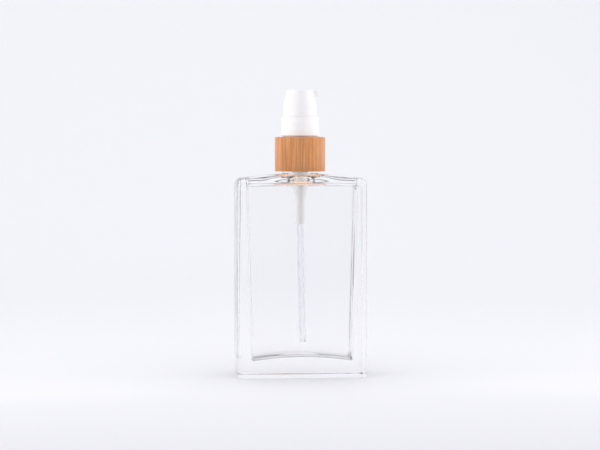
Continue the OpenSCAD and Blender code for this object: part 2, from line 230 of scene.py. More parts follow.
# Flint glass, pressed outside and blown inside: extra clear, polished, with slow ripples in its walls.
def flintGlass():
    made, tree = newMaterial("flintGlassPolished")
    where = addNode(tree, "ShaderNodeTexCoord").outputs["Object"]
    ripple = addNode(tree, "ShaderNodeTexNoise",
                     {"Scale": 1 / (glass["rippleSize"] * mm), "Detail": 1.0, "Roughness": 0.4},
                     {"Vector": where})
    relief = addNode(tree, "ShaderNodeBump",
                     {"Strength": glass["rippleStrength"], "Distance": glass["rippleDepth"] * mm},
                     {"Height": ripple.outputs["Fac"]})
    body = addNode(tree, "ShaderNodeBsdfPrincipled",
                   {"Base Color": linear(glass["tint"]), "Roughness": 0.0, "IOR": glass["ior"],
                    "Transmission Weight": 1.0},
                   {"Normal": relief.outputs["Normal"]})
    clear = addNode(tree, "ShaderNodeBsdfTransparent", {"Color": glass["shade"]})
    path = addNode(tree, "ShaderNodeLightPath")
    mixed = addNode(tree, "ShaderNodeMixShader", links={
        "Fac": path.outputs["Is Shadow Ray"], 1: body.outputs[0], 2: clear.outputs[0]})
    return finishMaterial(made, mixed.outputs[0])


# One rounded rectangle ring, the same number of points on every straight and corner.
def plateRing(halfX, halfY, radius, alongX=14, alongY=8, corner=12):
    quarter = []
    for i in range(alongY):
        quarter.append((halfX, (halfY - radius) * i / alongY))
    for i in range(corner):
        a = quarterTurn * i / corner
        quarter.append((halfX - radius + radius * math.cos(a), halfY - radius + radius * math.sin(a)))
    for i in range(alongX):
        quarter.append(((halfX - radius) * (1 - i / alongX), halfY))
    left = [(-x, y) for x, y in reversed(quarter)]
    upper = quarter + [(0.0, halfY)] + left[:-1]
    return upper + [(-x, -y) for x, y in upper]


def roundRing(radius, count):
    turns = [fullTurn * i / count for i in range(count)]
    return [(radius * math.cos(t), radius * math.sin(t)) for t in turns]


def lerpRing(a, b, t):
    return [(blendValue(p[0], q[0], t), blendValue(p[1], q[1], t)) for p, q in zip(a, b)]


bottle = {
    "width": 61.4, "depth": 33.0, "shoulder": 96.5, "sideFall": 2.3, "faceFall": 1.0,
    "cornerRadius": 2.8, "leastCorner": 0.4, "shoulderRadius": 2.6, "heelRadius": 0.5,
    "hollow": 0.6, "hollowRadius": 12.0, "hollowRim": 0.4,
    "neckRadius": 8.85, "boreRadius": 6.8, "lip": 109.1, "lipRound": 0.6, "boreRound": 0.4,
    "flare": 0.35, "rootSink": 0.3,
    "threadRadius": 9.85, "threadStart": 101.2, "pitch": 3.175, "turns": 1.5,
    "ridgeHalf": 0.92, "crestHalf": 0.3, "ridgeFade": 0.12,  # mm, mm, and turns at each end
    "cavityTopX": 26.6, "cavityFootX": 24.1, "cavityTopY": 12.6, "cavityFootY": 12.0,
    "ceiling": 92.6, "ceilingSink": 0.2, "ceilingFall": 0.4, "ceilingFaceFall": 0.5,
    "swell": 0.7, "swellAt": 17.0, "swellWidth": 6.0,  # low waves in the ceiling beside the neck
    "browRadius": 1.8, "browCorner": 0.8, "cavityCorner": 1.1, "cornerTighten": 0.3,
    "cavityFootRadius": 1.5, "footCorner": 0.5, "floor": 7.6, "pushUp": 2.4, "eye": 1.0,
    "endBand": 4.5,  # mm, how near an end wall the glass wanders with it
}


def domed(x, y, top, fallX, fallY, reachX, reachY):
    return top - fallX * (x / reachX) ** 2 - fallY * (y / reachY) ** 2


def shoulderHeight(x, y):
    b = bottle
    return domed(x, y, b["shoulder"], b["sideFall"], b["faceFall"], b["width"] / 2, b["depth"] / 2)


def ceilingHeight(x, y):
    b = bottle
    swell = b["swell"] * math.exp(-((abs(x) - b["swellAt"]) / b["swellWidth"]) ** 2)
    swell *= max(0.0, 1 - (y / b["cavityTopY"]) ** 2)
    top = b["ceiling"] - b["ceilingSink"]
    dome = domed(x, y, top, b["ceilingFall"], b["ceilingFaceFall"], b["cavityTopX"], b["cavityTopY"])
    return dome + swell


def floorHeight(x, y):
    b = bottle
    reach = b["cavityFootX"] ** 2 + b["cavityFootY"] ** 2
    return b["floor"] + b["pushUp"] * (1 - (x * x + y * y) / reach)


def levelRing(ring, z):
    return [(x, y, z) for x, y in ring]


def drapedRing(ring, heightAt):
    return [(x, y, heightAt(x, y)) for x, y in ring]


def outerRing(inset):
    b = bottle
    radius = max(b["leastCorner"], b["cornerRadius"] - inset)
    return plateRing(b["width"] / 2 - inset, b["depth"] / 2 - inset, radius)


# Base, heel, walls and shoulder, from the middle of the base to the neck's root.
def outsideRings(count):
    b = bottle
    rings = [[(0, 0, b["hollow"])]]
    for i in range(1, 7):
        share = i / 6
        rings.append(levelRing(roundRing(b["hollowRadius"] * share, count), b["hollow"] * (1 - share ** 2)))
    heel = b["heelRadius"]
    rim = roundRing(b["hollowRadius"] + b["hollowRim"], count)
    for i in range(5):
        rings.append(levelRing(lerpRing(rim, outerRing(heel), i / 4), 0.0))
    for i in range(1, 9):
        a = quarterTurn * i / 8
        rings.append(levelRing(outerRing(heel * (1 - math.sin(a))), heel * (1 - math.cos(a))))
    edge = b["shoulderRadius"]
    inner = outerRing(edge)
    crest = [shoulderHeight(x, y) for x, y in inner]
    for i in range(1, 21):
        rings.append([(x, y, blendValue(heel, z - edge, i / 20)) for (x, y), z in zip(outerRing(0), crest)])
    for i in range(1, 11):
        a = quarterTurn * i / 10
        ring = outerRing(edge * (1 - math.cos(a)))
        rings.append([(x, y, z - edge + edge * math.sin(a)) for (x, y), z in zip(ring, crest)])
    root = roundRing(b["neckRadius"] + b["flare"], count)
    for i in range(1, 17):
        rings.append(drapedRing(lerpRing(inner, root, i / 16), shoulderHeight))
    return rings


# How far the thread stands out here, from 0 on the bare neck to 1 on its crest.
def threadRelief(turn, z):
    b = bottle
    best = 0.0
    for lap in range(-1, int(b["turns"]) + 2):
        along = turn / fullTurn + lap
        if along < 0 or along > b["turns"]:
            continue
        fade = min(1.0, along / b["ridgeFade"], (b["turns"] - along) / b["ridgeFade"])
        away = abs(z - b["threadStart"] - b["pitch"] * along)
        if away < b["ridgeHalf"]:
            best = max(best, fade * smoothstep(b["ridgeHalf"], b["crestHalf"], away))
    return best


# Neck with its thread, over the lip and down the bore to the cavity's ceiling.
def neckRings(count, rows=56):
    b = bottle
    rings = []
    rootTop = b["shoulder"] - b["rootSink"] + b["flare"]
    low = [shoulderHeight(x, y) for x, y in roundRing(b["neckRadius"] + b["flare"], count)]
    for i in range(1, 9):
        a = quarterTurn * i / 8
        ring = roundRing(b["neckRadius"] + b["flare"] * (1 - math.sin(a)), count)
        rings.append([(x, y, blendValue(z, rootTop, 1 - math.cos(a))) for (x, y), z in zip(ring, low)])
    top = b["lip"] - b["lipRound"]
    height = b["threadRadius"] - b["neckRadius"]
    for i in range(1, rows + 1):
        z = blendValue(rootTop, top, i / rows)
        ring = []
        for k in range(count):
            turn = fullTurn * k / count
            r = b["neckRadius"] + height * threadRelief(turn, z)
            ring.append((r * math.cos(turn), r * math.sin(turn), z))
        rings.append(ring)
    for i in range(1, 7):
        a = quarterTurn * i / 6
        r = b["neckRadius"] - b["lipRound"] * (1 - math.cos(a))
        rings.append(levelRing(roundRing(r, count), top + b["lipRound"] * math.sin(a)))
    for i in range(6):
        a = quarterTurn * i / 5
        r = b["boreRadius"] + b["boreRound"] * (1 - math.sin(a))
        rings.append(levelRing(roundRing(r, count), b["lip"] - b["boreRound"] * (1 - math.cos(a))))
    for i in range(1, 13):
        z = blendValue(b["lip"] - b["boreRound"], b["ceiling"] + b["flare"], i / 12)
        rings.append(levelRing(roundRing(b["boreRadius"], count), z))
    for i in range(1, 9):
        a = quarterTurn * i / 8
        r = b["boreRadius"] + b["flare"] * (1 - math.cos(a))
        z = b["ceiling"] - b["ceilingSink"] + (b["flare"] + b["ceilingSink"]) * (1 - math.sin(a))
        rings.append(levelRing(roundRing(r, count), z))
    return rings


# Cavity's outline under its ceiling: shrink 1 is where the rounded brow begins, 0 is on the walls.
def browRing(shrink):
    b = bottle
    inset = shrink * b["browRadius"]
    radius = max(b["browCorner"], b["cavityCorner"] - shrink * b["cornerTighten"])
    return plateRing(b["cavityTopX"] - inset, b["cavityTopY"] - inset, radius)


def footRing(inset):
    b = bottle
    radius = max(b["footCorner"], b["cavityCorner"] - inset)
    return plateRing(b["cavityFootX"] - inset, b["cavityFootY"] - inset, radius)


# Slow wander of the blown wall, with a little quicker movement over it, from about -1 to 1.
def wander(x, y, z):
    slow = noise.noise(Vector((x * 0.02 + 3.1, y * 0.03, z * 0.045 + 1.7)))
    quick = noise.noise(Vector((x * 0.05 + 9.0, y * 0.12, z * 0.11 + 4.2)))
    return slow + 0.12 * quick


# Ceiling, rounded brow, leaning walls that wander a little, rounded foot and pushed-up floor.
def cavityRings(count, rows=64):
    b = bottle
    rings = []
    mouth = roundRing(b["boreRadius"] + b["flare"], count)
    start = browRing(1.0)
    for i in range(1, 13):
        rings.append(drapedRing(lerpRing(mouth, start, i / 12), ceilingHeight))
    brow = [ceilingHeight(x, y) for x, y in start]
    for i in range(1, 13):
        a = quarterTurn * i / 12
        drop = b["browRadius"] * (1 - math.cos(a))
        rings.append([(x, y, z - drop) for (x, y), z in zip(browRing(1 - math.sin(a)), brow)])
    foot = b["cavityFootRadius"]
    for i in range(1, rows + 1):
        t = i / rows
        fade = min(1.0, t * 6, (1 - t) * 6)
        hx = blendValue(b["cavityTopX"], b["cavityFootX"], smoothstep(-0.25, 1.15, t))
        hy = blendValue(b["cavityTopY"], b["cavityFootY"], t)
        ring = []
        for (x, y), top in zip(plateRing(hx, hy, b["cavityCorner"]), brow):
            z = blendValue(top - b["browRadius"], floorHeight(x, y) + foot, t)
            push = wander(x, y, z) * fade
            endShare = smoothstep(hx - b["endBand"], hx, abs(x))
            x += math.copysign(glass["wallWave"] * push * endShare, x)
            y += math.copysign(glass["faceWave"] * push * (1 - endShare), y)
            ring.append((x, y, z))
        rings.append(ring)
    for i in range(1, 9):
        a = quarterTurn * i / 8
        lift = foot * (1 - math.sin(a))
        rings.append([(x, y, floorHeight(x, y) + lift) for x, y in footRing(foot * (1 - math.cos(a)))])
    eye = roundRing(b["eye"], count)
    for i in range(1, 16):
        rings.append(drapedRing(lerpRing(footRing(foot), eye, i / 15), floorHeight))
    rings.append([(0, 0, b["floor"] + b["pushUp"])])
    return rings


def buildBottle():
    count = len(outerRing(0))
    return loft("glassBottle", outsideRings(count) + neckRings(count) + cavityRings(count))


bottlePiece = buildBottle()
place(bottlePiece, "glass_bottle", flintGlass())
print("bottle built:", len(bottlePiece.data.polygons), "faces")


bamboo = {
    "pale": "#EDB07C", "straw": "#DC9459", "brown": "#C57A3C", "brownAt": 0.26, "paleAt": 0.74,
    "fibre": 0.28,  # mm between fibre bundles
    "strip": 0.85,  # mm, soft bands of tone
    "board": 5.0,  # mm, slow drift of tone round the sleeve
    "tongue": 2.6,  # mm, half width of the darker middle band at the foot
    "narrowing": 0.13,  # mm that the darker band loses on each side for every mm up
    "fleck": 0.16,  # mm, pores between the fibres
    "roughness": 0.42, "coat": 0.25, "relief": 0.03,
    "wall": 1.0, "rimRadius": 8.6, "rimDepth": 1.2, "topRound": 0.6,
}
low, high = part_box("bamboo_collar")
collarFoot, collarTop, collarRadius = low.z / mm, high.z / mm, high.x / mm


# Strip bamboo, turned and sealed with a thin satin lacquer: straight fibres with a warm low sheen.
def turnedBamboo():
    made, tree = newMaterial("bambooTurnedSealed")
    where = addNode(tree, "ShaderNodeTexCoord").outputs["Object"]

    def grain(across, along, detail, offset):
        scale = (1 / (across * mm), 1 / (across * mm), 1 / (along * mm))
        scaled = addNode(tree, "ShaderNodeMapping", {"Scale": scale, "Location": offset}, {"Vector": where})
        noisy = addNode(tree, "ShaderNodeTexNoise", {"Scale": 1.0, "Detail": detail, "Roughness": 0.6},
                        {"Vector": scaled.outputs[0]})
        return noisy.outputs["Fac"]

    def ranged(value, low, high, toLow, toHigh):
        limits = {"From Min": low, "From Max": high, "To Min": toLow, "To Max": toHigh}
        return addNode(tree, "ShaderNodeMapRange", limits, {"Value": value}).outputs[0]

    def combined(operation, a, b):
        return addNode(tree, "ShaderNodeMath", {"operation": operation}, {0: a, 1: b}).outputs[0]

    fibres = grain(bamboo["fibre"], 14.0, 3.0, (0, 0, 0))
    bands = grain(bamboo["strip"], 26.0, 3.0, (7.3, 1.9, 0.4))
    drift = grain(bamboo["board"], 40.0, 1.0, (2.1, 5.6, 0.9))
    flecks = grain(bamboo["fleck"], 1.6, 1.0, (3.0, 8.0, 2.0))
    tone = addNode(tree, "ShaderNodeValToRGB", links={"Fac": bands})
    ramp = tone.color_ramp
    ramp.elements[0].position, ramp.elements[0].color = bamboo["brownAt"], linear(bamboo["brown"])
    ramp.elements[1].position, ramp.elements[1].color = bamboo["paleAt"], linear(bamboo["pale"])
    ramp.elements.new(0.5).color = linear(bamboo["straw"])

    # darker in a tongue about the sleeve's middle, front and back, that narrows upward
    spot = addNode(tree, "ShaderNodeSeparateXYZ", links={0: where})
    aside = addNode(tree, "ShaderNodeMath", {"operation": "ABSOLUTE"}, {0: spot.outputs["X"]}).outputs[0]
    slope = bamboo["narrowing"]
    rising = {"operation": "MULTIPLY_ADD", 1: slope, 2: -slope * collarFoot * mm}
    rise = addNode(tree, "ShaderNodeMath", rising, {0: spot.outputs["Z"]}).outputs[0]
    darkerMiddle = ranged(combined("ADD", aside, rise), 0.5 * mm, bamboo["tongue"] * mm, 0.8, 1.0)

    fine = combined("MULTIPLY", ranged(fibres, 0.35, 0.66, 0.86, 1.05), ranged(flecks, 0.3, 0.5, 0.88, 1.0))
    lined = combined("MULTIPLY", fine, ranged(drift, 0.35, 0.65, 0.9, 1.05))
    colour = addNode(tree, "ShaderNodeVectorMath", {"operation": "SCALE"},
                     {0: tone.outputs["Color"], "Scale": combined("MULTIPLY", lined, darkerMiddle)})
    relief = addNode(tree, "ShaderNodeBump", {"Strength": 0.35, "Distance": bamboo["relief"] * mm},
                     {"Height": fibres})
    rough = ranged(fibres, 0.0, 1.0, bamboo["roughness"] - 0.08, bamboo["roughness"] + 0.12)
    body = addNode(tree, "ShaderNodeBsdfPrincipled",
                   {"IOR": 1.5, "Coat Weight": bamboo["coat"], "Coat Roughness": 0.25},
                   {"Base Color": colour.outputs[0], "Roughness": rough, "Normal": relief.outputs["Normal"]})
    return finishMaterial(made, body.outputs[0])


collarInside = collarRadius - bamboo["wall"]
rimFoot = collarTop - bamboo["rimDepth"]
collarPiece = lathe("bambooCollar", roundedProfile([
    (collarInside, collarFoot, 0.12), (collarRadius, collarFoot, 0.12),
    (collarRadius, collarTop, bamboo["topRound"]), (bamboo["rimRadius"], collarTop, 0.15),
    (bamboo["rimRadius"], rimFoot, 0.05), (collarInside, rimFoot, 0.1),
]))
place(collarPiece, "bamboo_collar", turnedBamboo())
print("collar turned")


plastic = {
    "white": "#FBF8F6", "whiteRough": 0.34, "whiteDepth": 0.8,  # depth in mm that light gets into the wall
    "natural": "#EFF0EE", "naturalRough": 0.4, "naturalDepth": 1.2,
    "soft": "#EDECE6", "softRough": 0.45, "softDepth": 1.4,
    "grain": 0.35,  # mm, the moulded skin
    "cloud": 6.0,  # mm, faint drift of tone
    "sleeved": "#F7DBC4", "glow": 0.48,  # painted warm light: a peach tint and a glow that stand in for light bounced about inside the closure
}


# Polypropylene or polyethylene, injection moulded: satin, with soft shadows and a very fine skin. A glow,
# where given, is painted light.
def mouldedPlastic(name, colour, roughness, depth, glow=0.0):
    made, tree = newMaterial(name)
    where = addNode(tree, "ShaderNodeTexCoord").outputs["Object"]
    skin = addNode(tree, "ShaderNodeTexNoise",
                   {"Scale": 1 / (plastic["grain"] * mm), "Detail": 2.0, "Roughness": 0.5},
                   {"Vector": where}).outputs["Fac"]
    cloud = addNode(tree, "ShaderNodeTexNoise", {"Scale": 1 / (plastic["cloud"] * mm), "Detail": 1.0},
                    {"Vector": where})
    tone = addNode(tree, "ShaderNodeMapRange", {"To Min": 0.975, "To Max": 1.0},
                   {"Value": cloud.outputs["Fac"]})
    shade = addNode(tree, "ShaderNodeVectorMath", {"operation": "SCALE", 0: linear(colour)[:3]},
                    {"Scale": tone.outputs[0]})
    relief = addNode(tree, "ShaderNodeBump", {"Strength": 0.12, "Distance": 0.01 * mm}, {"Height": skin})
    rough = addNode(tree, "ShaderNodeMapRange", {"To Min": roughness - 0.04, "To Max": roughness + 0.06},
                    {"Value": skin})
    body = addNode(tree, "ShaderNodeBsdfPrincipled",
                   {"IOR": 1.49, "Subsurface Weight": 0.25, "Subsurface Radius": (1, 0.9, 0.8),
                    "Subsurface Scale": depth * mm,
                    "Emission Color": linear(colour), "Emission Strength": glow},
                   {"Base Color": shade.outputs[0], "Roughness": rough.outputs[0],
                    "Normal": relief.outputs["Normal"]})
    return finishMaterial(made, body.outputs[0])


whitePlastic = mouldedPlastic("polypropyleneWhiteMoulded", plastic["white"],
                              plastic["whiteRough"], plastic["whiteDepth"])

# corners as radius, height and rounding: foot, bead, step, skirt guide, then down inside
shroudProfile = roundedProfile([
    (6.6, 112.75, 0.1), (8.3, 112.75, 0.2), (8.3, 114.2, 0.1), (9.32, 114.2, 0.28), (9.32, 114.9, 0.25),
    (9.12, 115.1, 0.05), (9.16, 117.75, 0.12), (8.92, 117.98, 0.05), (8.86, 123.3, 0.45),
    (8.15, 123.3, 0.25), (8.15, 116.6, 0.3), (6.6, 116.6, 0.1),
])
shroudPiece = lathe("pumpShroud", shroudProfile)
place(shroudPiece, "pump_shroud", whitePlastic)

head = {
    "foot": 122.0, "skirt": 7.85, "skirtRound": 0.25, "wall": 0.85,
    "bendStart": 127.5, "bendRadius": 16.0, "tilt": 13.5,  # mm, mm, degrees: the body leans in above
    "top": 136.1, "edge": 0.45, "slopeFrom": 1.7, "slopeDrop": 0.5,
    "spoutFoot": 132.4, "spoutRound": 0.5, "reach": 8.85, "spoutHalf": 2.1,
    "spoutCorner": 0.55, "spoutRoot": 0.4,  # mm, blends at the spout's end and where it leaves the body
    "ceiling": 131.5, "boss": 2.9, "bossFoot": 124.2, "socket": 1.83, "socketTop": 131.3,
    "outletHeight": 133.9, "bore": (0.75, 9.5, 5.2), "mouth": (1.05, 1.4, 8.85),  # radius, length, middle
    "denseHalf": 36, "columns": 96,  # degrees to each side of the spout, and columns in each share
}


def bodyRadius(z):
    h = head
    tilt = math.radians(h["tilt"])
    rise = z - h["bendStart"]
    if rise <= 0:
        return h["skirt"]
    bend = h["bendRadius"] * math.sin(tilt)
    if rise < bend:
        return h["skirt"] - h["bendRadius"] + math.sqrt(h["bendRadius"] ** 2 - rise ** 2)
    return h["skirt"] - h["bendRadius"] * (1 - math.cos(tilt)) - (rise - bend) * math.tan(tilt)


# Distance out to the wall in one direction: the round body, blended with the straight spout.
def spoutOutline(turn, radius, inset=0.0):
    h = head
    reach, half = h["reach"] - inset, h["spoutHalf"] - inset
    if reach <= radius or math.cos(turn) <= 0.2:
        return radius
    side = half / max(1e-4, abs(math.sin(turn)))
    spout = softMin(reach / math.cos(turn), side, h["spoutCorner"])
    return softMax(radius, spout, h["spoutRoot"])


def topHeight(x):
    h = head
    t = max(0.0, (x - h["slopeFrom"]) / (h["reach"] - h["slopeFrom"]))
    return h["top"] - h["slopeDrop"] * t


def actuatorTurns():
    dense, count = head["denseHalf"], head["columns"]
    front = [math.radians(blendValue(-dense, dense, i / count)) for i in range(count)]
    rest = [math.radians(blendValue(dense, 360 - dense, i / count)) for i in range(count)]
    return front + rest


def actuatorRing(turns, radiusAt, heightAt):
    ring = []
    for turn in turns:
        r = radiusAt(turn)
        x, y = r * math.cos(turn), r * math.sin(turn)
        ring.append((x, y, heightAt(x)))
    return ring


# From the middle of the top face over its edge and down the spout to its underside.
def spoutRings(turns):
    h = head
    edge, spoutRound = h["edge"], h["spoutRound"]
    topBody = bodyRadius(h["top"] - edge)
    rings = [[(0, 0, h["top"])]]
    for share in (0.2, 0.45, 0.7, 0.88, 1.0):
        rings.append(actuatorRing(turns, lambda t: share * (spoutOutline(t, topBody) - edge), topHeight))
    for i in range(1, 8):
        a = quarterTurn * i / 7
        inset, drop = edge * (1 - math.sin(a)), edge * (1 - math.cos(a))
        rings.append(actuatorRing(turns, lambda t: spoutOutline(t, topBody) - inset,
                                  lambda x: topHeight(x) - drop))
    low = h["spoutFoot"] + spoutRound
    for i in range(1, 7):
        body = bodyRadius(blendValue(h["top"] - edge, low, i / 6))
        rings.append(actuatorRing(turns, lambda t: spoutOutline(t, body),
                                  lambda x: blendValue(topHeight(x) - edge, low, i / 6)))
    for i in range(1, 7):
        a = quarterTurn * i / 6
        z = low - spoutRound * math.sin(a)
        shrink = spoutRound * (1 - math.cos(a))
        rings.append(actuatorRing(turns, lambda t: spoutOutline(t, bodyRadius(z), shrink), lambda x: z))
    body = bodyRadius(h["spoutFoot"])
    for share in (0.6, 0.25, 0.0):
        rings.append(actuatorRing(
            turns, lambda t: blendValue(body, spoutOutline(t, body, spoutRound), share),
            lambda x: h["spoutFoot"]))
    return rings


# Body and skirt outside, then up inside, across the ceiling and down the boss to its socket.
def skirtRings(turns):
    h = head
    wall, edge = h["wall"], h["skirtRound"]
    steps = []
    for i in range(1, 22):
        z = blendValue(h["spoutFoot"], h["foot"] + edge, i / 21)
        steps.append((bodyRadius(z), z))
    for i in range(1, 5):
        a = quarterTurn * i / 4
        steps.append((h["skirt"] - edge * (1 - math.cos(a)), h["foot"] + edge * (1 - math.sin(a))))
    inner = h["skirt"] - wall
    steps += [(inner, h["foot"]), (inner, h["foot"] + 2)]
    steps += [(bodyRadius(z) - wall, z) for z in (126, 127.5, 128.5, 129.5, 130.5)]
    corner = bodyRadius(131) - wall
    steps += [
        (corner - 0.1, 131.2), (corner - 0.5, h["ceiling"]), (h["boss"] + 0.3, h["ceiling"]),
        (h["boss"], h["ceiling"] - 0.3), (h["boss"], h["bossFoot"] + 0.2),
        (h["boss"] - 0.2, h["bossFoot"]), (h["socket"] + 0.3, h["bossFoot"]),
        (h["socket"], h["bossFoot"] + 0.3), (h["socket"], h["socketTop"]),
    ]
    rings = [actuatorRing(turns, lambda t: r, lambda x: z) for r, z in steps]
    return rings + [[(0, 0, h["socketTop"])]]


def cutOutlet(piece, radius, length, middle):
    bpy.ops.mesh.primitive_cylinder_add(
        vertices=48, radius=radius * mm, depth=length * mm,
        location=(middle * mm, 0, head["outletHeight"] * mm), rotation=(0, quarterTurn, 0))
    tool = bpy.context.object
    cut = piece.modifiers.new("outlet", "BOOLEAN")
    cut.operation, cut.object, cut.solver = "DIFFERENCE", tool, "EXACT"
    applyModifiers(piece)
    bpy.data.objects.remove(tool)


def buildActuator():
    turns = actuatorTurns()
    piece = loft("actuatorHead", spoutRings(turns) + skirtRings(turns))
    cutOutlet(piece, *head["bore"])
    cutOutlet(piece, *head["mouth"])
    piece.data.polygons.foreach_set("use_smooth", [True] * len(piece.data.polygons))
    return piece


actuatorPiece = buildActuator()
place(actuatorPiece, "actuator", whitePlastic)
print("actuator built")


dip = {
    "outer": 1.65, "inner": 1.1, "top": 80.0, "foot": 15.8, "tint": "#FBFCFE",
    "lean": 1.2, "uprightShare": 0.11,  # mm at the foot, and the share of the length that stays upright
    "draw": 0.4, "drawLength": 20.0,  # mm, fine lines along the tube
    "haze": 0.14,
    "straight": 0.72,  # share of the light that passes the thin wall without bending
    "wallTint": (0.985, 0.985, 0.99, 1),
}


# Low-density polyethylene, extruded: hazy and almost clear, bright along its edges.
def extrudedPolyethylene():
    made, tree = newMaterial("polyethyleneExtrudedClear")
    haze = dip["haze"]
    where = addNode(tree, "ShaderNodeTexCoord").outputs["Object"]
    across, along = 1 / (dip["draw"] * mm), 1 / (dip["drawLength"] * mm)
    drawn = addNode(tree, "ShaderNodeMapping", {"Scale": (across, across, along)}, {"Vector": where})
    lines = addNode(tree, "ShaderNodeTexNoise", {"Scale": 1.0, "Detail": 2.0}, {"Vector": drawn.outputs[0]})
    relief = addNode(tree, "ShaderNodeBump", {"Strength": 0.02, "Distance": 0.003 * mm},
                     {"Height": lines.outputs["Fac"]})
    rough = addNode(tree, "ShaderNodeMapRange", {"To Min": haze - 0.05, "To Max": haze + 0.08},
                    {"Value": lines.outputs["Fac"]})
    body = addNode(tree, "ShaderNodeBsdfPrincipled",
                   {"Base Color": linear(dip["tint"]), "IOR": 1.51, "Transmission Weight": 1.0},
                   {"Roughness": rough.outputs[0], "Normal": relief.outputs["Normal"]})
    clear = addNode(tree, "ShaderNodeBsdfTransparent", {"Color": dip["wallTint"]})
    path = addNode(tree, "ShaderNodeLightPath")
    share = addNode(tree, "ShaderNodeMapRange", {"To Min": dip["straight"], "To Max": 1.0},
                    {"Value": path.outputs["Is Shadow Ray"]})
    mixed = addNode(tree, "ShaderNodeMixShader", links={
        "Fac": share.outputs[0], 1: body.outputs[0], 2: clear.outputs[0]})
    return finishMaterial(made, mixed.outputs[0])


def tubeLean(z):
    t = (dip["top"] - z) / (dip["top"] - dip["foot"])
    return dip["lean"] * (1.12 * t - 0.12) if t > dip["uprightShare"] else 0.0


def buildDipTube(rows=40, columns=48):
    rings = []
    heights = [blendValue(dip["top"], dip["foot"], i / rows) for i in range(rows + 1)]
    for radius, order in ((dip["outer"], heights), (dip["inner"], heights[::-1])):
        for z in order:
            rings.append([(tubeLean(z) + x, y, z) for x, y in roundRing(radius, columns)])
    return loft("dipTube", rings, closed=True)


tubePiece = buildDipTube()
place(tubePiece, "dip_tube", extrudedPolyethylene())
print("dip tube drawn")


metal = {"colour": "#CFCFCF", "grain": 0.08, "leastRough": 0.16, "mostRough": 0.32}


# Stainless wire and ball, drawn and polished: bright, with fine uneven polish.
def drawnStainless():
    made, tree = newMaterial("stainlessDrawnPolished")
    where = addNode(tree, "ShaderNodeTexCoord").outputs["Object"]
    polish = addNode(tree, "ShaderNodeTexNoise", {"Scale": 1 / (metal["grain"] * mm), "Detail": 2.0},
                     {"Vector": where}).outputs["Fac"]
    rough = addNode(tree, "ShaderNodeMapRange",
                    {"To Min": metal["leastRough"], "To Max": metal["mostRough"]}, {"Value": polish})
    relief = addNode(tree, "ShaderNodeBump", {"Strength": 0.1, "Distance": 0.004 * mm}, {"Height": polish})
    body = addNode(tree, "ShaderNodeBsdfPrincipled",
                   {"Base Color": linear(metal["colour"]), "Metallic": 1.0},
                   {"Roughness": rough.outputs[0], "Normal": relief.outputs["Normal"]})
    return finishMaterial(made, body.outputs[0])


spring = {
    "wire": 0.25, "coil": 2.35, "turns": 8, "steps": 48, "sides": 12,
    "deadPitch": 2.08,  # end turns lie this many wire radii apart, almost touching
    "travel": 5.0,  # mm that it shortens under a full press
}


# Closed end turns and evenly open ones between, from the housing's ledge up to the rod's seat.
def buildSpring():
    s = spring
    low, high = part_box("return_spring")
    foot, head = low.z / mm + s["wire"], high.z / mm - s["wire"]
    deadPitch = s["deadPitch"] * s["wire"]
    lift = (head - foot - 2 * deadPitch) / (s["turns"] - 2)
    rings = []
    for i in range(s["turns"] * s["steps"] + 1):
        turn = i / s["steps"]
        dead = min(turn, 1) + max(turn - s["turns"] + 1, 0)
        z = foot + dead * deadPitch + (turn - dead) * lift
        a = fullTurn * turn
        ring = []
        for across, up in roundRing(s["wire"], s["sides"]):
            r = s["coil"] + across
            ring.append((r * math.cos(a), r * math.sin(a), z + up))
        rings.append(ring)

    def middle(ring):
        return [tuple(sum(p[axis] for p in ring) / len(ring) for axis in range(3))]

    return loft("returnSpring", [middle(rings[0])] + rings + [middle(rings[-1])])


springPiece = buildSpring()
steel = drawnStainless()
place(springPiece, "return_spring", steel)
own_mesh(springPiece)  # a mesh of its own; the real spring shortens as the actuator goes down
print("spring wound")


seals = {
    "rubberDark": "#3A3A3A", "rubberPale": "#5C5C5A", "bloom": 0.5,  # mm, patches of bloom
    "foamDark": "#E4E3DD", "foamPale": "#F3F2EE", "cell": 0.25,  # mm, closed cells
}


# Nitrile rubber, compression moulded: charcoal and dull, with a faint bloom.
def mouldedNitrile():
    made, tree = newMaterial("nitrileMoulded")
    where = addNode(tree, "ShaderNodeTexCoord").outputs["Object"]
    bloom = addNode(tree, "ShaderNodeTexNoise", {"Scale": 1 / (seals["bloom"] * mm), "Detail": 3.0},
                    {"Vector": where})
    tone = addNode(tree, "ShaderNodeValToRGB", links={"Fac": bloom.outputs["Fac"]})
    tone.color_ramp.elements[0].color = linear(seals["rubberDark"])
    tone.color_ramp.elements[1].color = linear(seals["rubberPale"])
    relief = addNode(tree, "ShaderNodeBump", {"Strength": 0.2, "Distance": 0.01 * mm},
                     {"Height": bloom.outputs["Fac"]})
    body = addNode(tree, "ShaderNodeBsdfPrincipled", {"Roughness": 0.7},
                   {"Base Color": tone.outputs["Color"], "Normal": relief.outputs["Normal"]})
    return finishMaterial(made, body.outputs[0])
